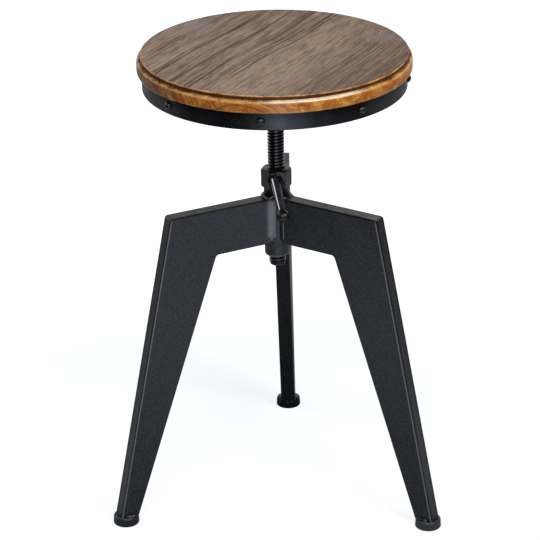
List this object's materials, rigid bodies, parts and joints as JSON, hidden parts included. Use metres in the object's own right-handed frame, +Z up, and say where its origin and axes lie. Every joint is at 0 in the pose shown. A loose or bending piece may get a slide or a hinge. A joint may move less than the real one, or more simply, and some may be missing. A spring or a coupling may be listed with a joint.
{
  "type": "height adjustable stool",
  "caption": "Round wooden seat with a riveted steel band on a screw spindle, locked by a lever nut over a hub with bent box-section tripod legs",
  "frame": {"origin": "on the floor, in the middle of the stool's outline in X and Y; the seat's and hub's axis is vertical, 33.6 mm in front of it", "axes": "+Z up; -Y is the front, between two legs, where the lock lever points; the rear leg points along +Y"},
  "size_m": [0.3972, 0.387, 0.5675],
  "materials": {
    "stained_wood": "grey-brown stain with dark grain, honey-brown turned edge, worn arrises",
    "band_black": "semi-gloss black powder coat",
    "rivet_black": "gloss black dome",
    "leg_black": "satin black powder coat with fine texture",
    "thread_black": "oiled gloss black thread",
    "nut_black": "satin black",
    "lever_black": "gloss black rod",
    "weld_black": "black coat over an uneven weld bead",
    "foot_black": "matt black moulded cap",
    "bush_steel": "machined steel",
    "zinc_steel": "zinc-plated steel"
  },
  "bodies": {
    "frame": {"hub_tube": "leg_black", "hub_bush_lower": "bush_steel", "hub_bush_upper": "bush_steel", "leg_rear": "leg_black", "leg_left": "leg_black", "leg_right": "leg_black", "hub_weld_rear": "weld_black", "hub_weld_left": "weld_black", "hub_weld_right": "weld_black", "foot_weld_a_rear": "weld_black", "foot_weld_a_left": "weld_black", "foot_weld_a_right": "weld_black", "foot_weld_b_rear": "weld_black", "foot_weld_b_left": "weld_black", "foot_weld_b_right": "weld_black", "foot_disc_rear": "leg_black", "foot_disc_left": "leg_black", "foot_disc_right": "leg_black", "foot_cap_rear": "foot_black", "foot_cap_left": "foot_black", "foot_cap_right": "foot_black"},
    "lock": {"lock_nut": "nut_black", "lock_lever": "lever_black", "lever_weld": "weld_black", "lock_ball": "nut_black"},
    "end_stop": {"stop_washer": "nut_black"},
    "seat": {"seat_board": "stained_wood", "seat_band": "band_black", "seat_cross": "leg_black", "spindle": "thread_black", "spindle_weld": "weld_black", "stop_screw": "zinc_steel", "band_rivet_1": "rivet_black", "band_rivet_2": "rivet_black", "band_rivet_3": "rivet_black", "band_rivet_4": "rivet_black", "band_rivet_5": "rivet_black", "band_rivet_6": "rivet_black", "band_rivet_7": "rivet_black", "band_rivet_8": "rivet_black", "seat_screw_1": "zinc_steel", "seat_screw_2": "zinc_steel", "seat_screw_3": "zinc_steel", "seat_screw_4": "zinc_steel"}
  },
  "joints": [
    {"name": "seat_lift", "type": "slide", "parent": "frame", "child": "end_stop", "axis": [0, 0, 1], "range_m": [-0.1081, 0.0081]},
    {"name": "seat_spin", "type": "hinge", "parent": "end_stop", "child": "seat", "pos_m": [0, -0.03358, 0.35], "axis": [0, 0, 1], "range_deg": [-9720, 720]},
    {"name": "lock_nut_turn", "type": "hinge", "parent": "frame", "child": "lock", "pos_m": [0, -0.03358, 0.4], "axis": [0, 0, 1], "range_deg": [-46, 25]}
  ],
  "couplings": [
    {"joint": "seat_lift", "follows": "seat_spin", "m_per_rad": 0.00063662}
  ]
}
